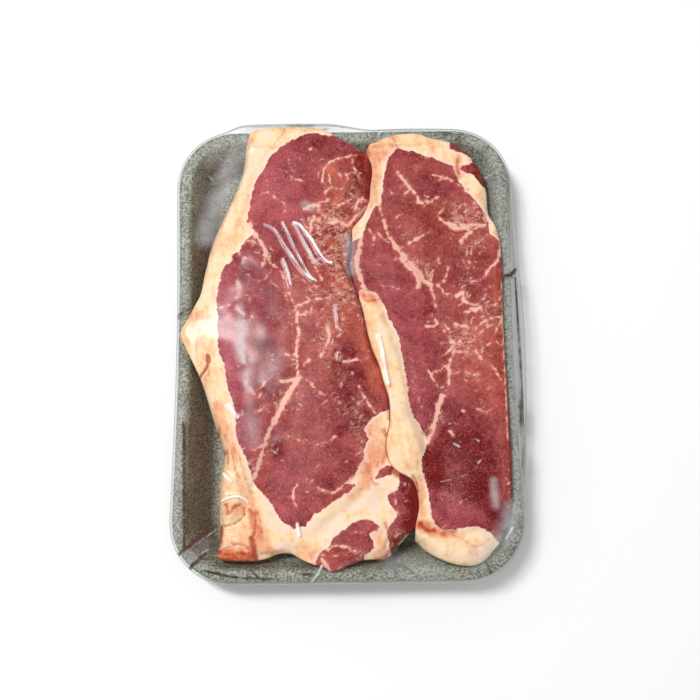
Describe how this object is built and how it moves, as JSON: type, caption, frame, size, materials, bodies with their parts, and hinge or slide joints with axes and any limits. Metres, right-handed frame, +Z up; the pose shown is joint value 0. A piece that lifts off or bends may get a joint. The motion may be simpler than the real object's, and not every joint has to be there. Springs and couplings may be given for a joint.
{
  "type": "pack of raw beef steaks",
  "caption": "Sealed pack of raw boneless beef steaks, side by side in a shallow grey foam tray under clear stretch film that is folded under its base.",
  "frame": {"origin": "centre of the pack's footprint, on the surface it stands on", "axes": "+X across the pack towards the right steak, +Y along the steaks towards the far end, +Z up"},
  "size_m": [0.1708, 0.2276, 0.0324],
  "materials": {
    "grey_foam": "speckled foam, dull",
    "left_beef": "moist raw beef with cream fat and marbling",
    "right_beef": "moist raw beef with cream fat and marbling",
    "clear_film": "clear, glossy, stretched thin"
  },
  "bodies": {
    "root": {"tray": "grey_foam", "steak_left": "left_beef", "steak_right": "right_beef", "film": "clear_film"}
  },
  "joints": []
}
